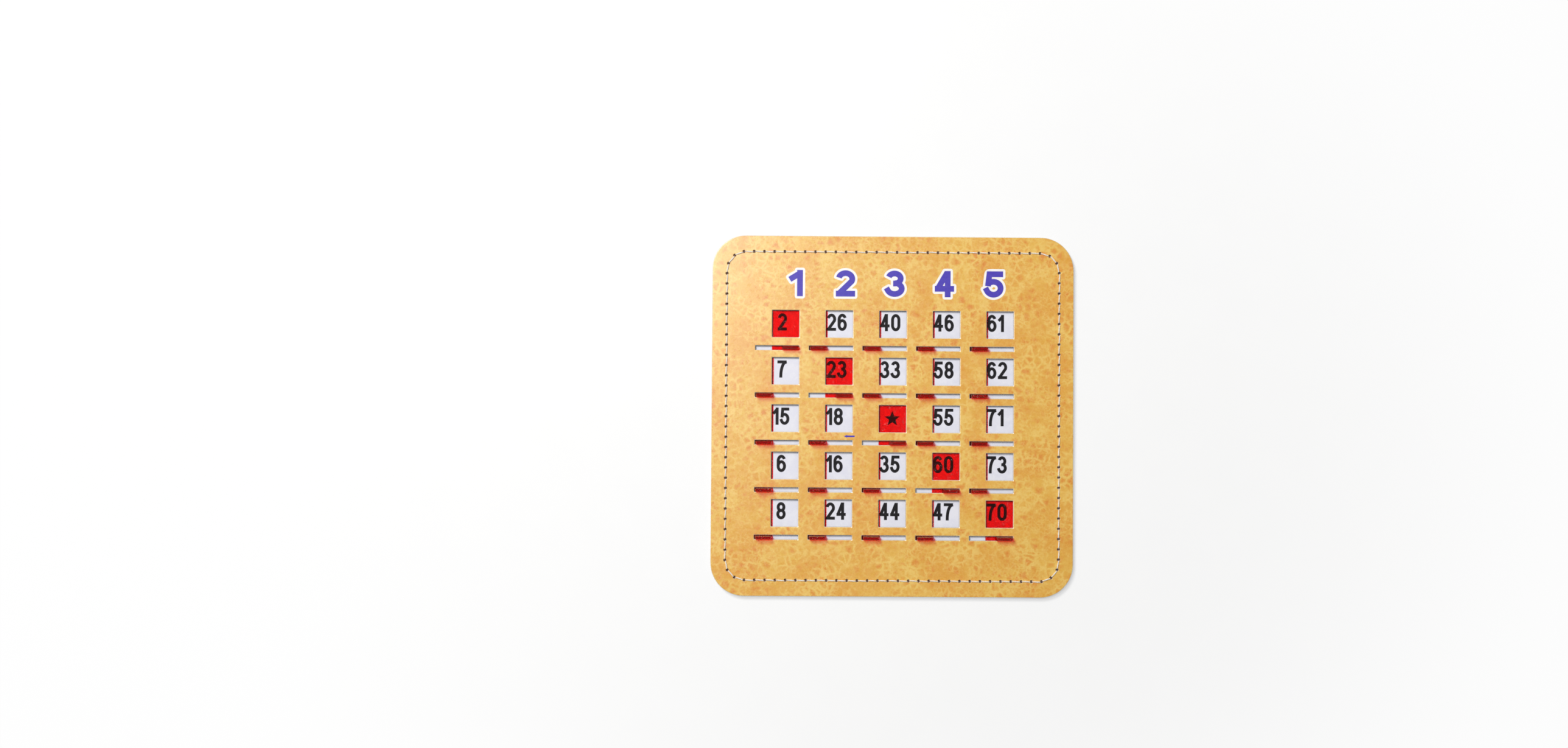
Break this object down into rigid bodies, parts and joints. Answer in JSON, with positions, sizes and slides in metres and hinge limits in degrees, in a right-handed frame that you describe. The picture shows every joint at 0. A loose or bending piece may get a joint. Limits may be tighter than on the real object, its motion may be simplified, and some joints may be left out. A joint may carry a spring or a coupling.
{
  "type": "bingo card",
  "caption": "Square stitched board bingo card with a grid of windows, each with a see-through sliding shutter that a finger tab pushes across.",
  "frame": {"origin": "middle of the card's back face", "axes": "+X along a row of windows to the right, +Y towards the head of the card, +Z out of its face"},
  "size_m": [0.206, 0.205, 0.0097],
  "materials": {
    "leatherette": "satin",
    "greyboard": "matte",
    "number_sheet": "gloss",
    "back_board": "matte",
    "thread": "matte",
    "shutter": "gloss"
  },
  "bodies": {
    "card": {"front_skin": "leatherette", "front_board": "greyboard", "channel_board": "greyboard", "number_card": "number_sheet", "back_board": "back_board", "needle_thread": "thread", "bobbin_thread": "thread"},
    "shutter_row1_col1": {"shutter_row1_col1": "shutter"},
    "shutter_row1_col2": {"shutter_row1_col2": "shutter"},
    "shutter_row1_col3": {"shutter_row1_col3": "shutter"},
    "shutter_row1_col4": {"shutter_row1_col4": "shutter"},
    "shutter_row1_col5": {"shutter_row1_col5": "shutter"},
    "shutter_row2_col1": {"shutter_row2_col1": "shutter"},
    "shutter_row2_col2": {"shutter_row2_col2": "shutter"},
    "shutter_row2_col3": {"shutter_row2_col3": "shutter"},
    "shutter_row2_col4": {"shutter_row2_col4": "shutter"},
    "shutter_row2_col5": {"shutter_row2_col5": "shutter"},
    "shutter_row3_col1": {"shutter_row3_col1": "shutter"},
    "shutter_row3_col2": {"shutter_row3_col2": "shutter"},
    "shutter_row3_col3": {"shutter_row3_col3": "shutter"},
    "shutter_row3_col4": {"shutter_row3_col4": "shutter"},
    "shutter_row3_col5": {"shutter_row3_col5": "shutter"},
    "shutter_row4_col1": {"shutter_row4_col1": "shutter"},
    "shutter_row4_col2": {"shutter_row4_col2": "shutter"},
    "shutter_row4_col3": {"shutter_row4_col3": "shutter"},
    "shutter_row4_col4": {"shutter_row4_col4": "shutter"},
    "shutter_row4_col5": {"shutter_row4_col5": "shutter"},
    "shutter_row5_col1": {"shutter_row5_col1": "shutter"},
    "shutter_row5_col2": {"shutter_row5_col2": "shutter"},
    "shutter_row5_col3": {"shutter_row5_col3": "shutter"},
    "shutter_row5_col4": {"shutter_row5_col4": "shutter"},
    "shutter_row5_col5": {"shutter_row5_col5": "shutter"}
  },
  "joints": [
    {"name": "shutter_row1_col1_slide", "type": "slide", "parent": "card", "child": "shutter_row1_col1", "axis": [1, 0, 0], "range_m": [-0.0146, 0]},
    {"name": "shutter_row1_col2_slide", "type": "slide", "parent": "card", "child": "shutter_row1_col2", "axis": [1, 0, 0], "range_m": [0, 0.0146]},
    {"name": "shutter_row1_col3_slide", "type": "slide", "parent": "card", "child": "shutter_row1_col3", "axis": [1, 0, 0], "range_m": [0, 0.0146]},
    {"name": "shutter_row1_col4_slide", "type": "slide", "parent": "card", "child": "shutter_row1_col4", "axis": [1, 0, 0], "range_m": [0, 0.0146]},
    {"name": "shutter_row1_col5_slide", "type": "slide", "parent": "card", "child": "shutter_row1_col5", "axis": [1, 0, 0], "range_m": [0, 0.0146]},
    {"name": "shutter_row2_col1_slide", "type": "slide", "parent": "card", "child": "shutter_row2_col1", "axis": [1, 0, 0], "range_m": [0, 0.0146]},
    {"name": "shutter_row2_col2_slide", "type": "slide", "parent": "card", "child": "shutter_row2_col2", "axis": [1, 0, 0], "range_m": [-0.0146, 0]},
    {"name": "shutter_row2_col3_slide", "type": "slide", "parent": "card", "child": "shutter_row2_col3", "axis": [1, 0, 0], "range_m": [0, 0.0146]},
    {"name": "shutter_row2_col4_slide", "type": "slide", "parent": "card", "child": "shutter_row2_col4", "axis": [1, 0, 0], "range_m": [0, 0.0146]},
    {"name": "shutter_row2_col5_slide", "type": "slide", "parent": "card", "child": "shutter_row2_col5", "axis": [1, 0, 0], "range_m": [0, 0.0146]},
    {"name": "shutter_row3_col1_slide", "type": "slide", "parent": "card", "child": "shutter_row3_col1", "axis": [1, 0, 0], "range_m": [0, 0.0146]},
    {"name": "shutter_row3_col2_slide", "type": "slide", "parent": "card", "child": "shutter_row3_col2", "axis": [1, 0, 0], "range_m": [0, 0.0146]},
    {"name": "shutter_row3_col3_slide", "type": "slide", "parent": "card", "child": "shutter_row3_col3", "axis": [1, 0, 0], "range_m": [-0.0146, 0]},
    {"name": "shutter_row3_col4_slide", "type": "slide", "parent": "card", "child": "shutter_row3_col4", "axis": [1, 0, 0], "range_m": [0, 0.0146]},
    {"name": "shutter_row3_col5_slide", "type": "slide", "parent": "card", "child": "shutter_row3_col5", "axis": [1, 0, 0], "range_m": [0, 0.0146]},
    {"name": "shutter_row4_col1_slide", "type": "slide", "parent": "card", "child": "shutter_row4_col1", "axis": [1, 0, 0], "range_m": [0, 0.0146]},
    {"name": "shutter_row4_col2_slide", "type": "slide", "parent": "card", "child": "shutter_row4_col2", "axis": [1, 0, 0], "range_m": [0, 0.0146]},
    {"name": "shutter_row4_col3_slide", "type": "slide", "parent": "card", "child": "shutter_row4_col3", "axis": [1, 0, 0], "range_m": [0, 0.0146]},
    {"name": "shutter_row4_col4_slide", "type": "slide", "parent": "card", "child": "shutter_row4_col4", "axis": [1, 0, 0], "range_m": [-0.0146, 0]},
    {"name": "shutter_row4_col5_slide", "type": "slide", "parent": "card", "child": "shutter_row4_col5", "axis": [1, 0, 0], "range_m": [0, 0.0146]},
    {"name": "shutter_row5_col1_slide", "type": "slide", "parent": "card", "child": "shutter_row5_col1", "axis": [1, 0, 0], "range_m": [0, 0.0146]},
    {"name": "shutter_row5_col2_slide", "type": "slide", "parent": "card", "child": "shutter_row5_col2", "axis": [1, 0, 0], "range_m": [0, 0.0146]},
    {"name": "shutter_row5_col3_slide", "type": "slide", "parent": "card", "child": "shutter_row5_col3", "axis": [1, 0, 0], "range_m": [0, 0.0146]},
    {"name": "shutter_row5_col4_slide", "type": "slide", "parent": "card", "child": "shutter_row5_col4", "axis": [1, 0, 0], "range_m": [0, 0.0146]},
    {"name": "shutter_row5_col5_slide", "type": "slide", "parent": "card", "child": "shutter_row5_col5", "axis": [1, 0, 0], "range_m": [-0.0146, 0]}
  ]
}
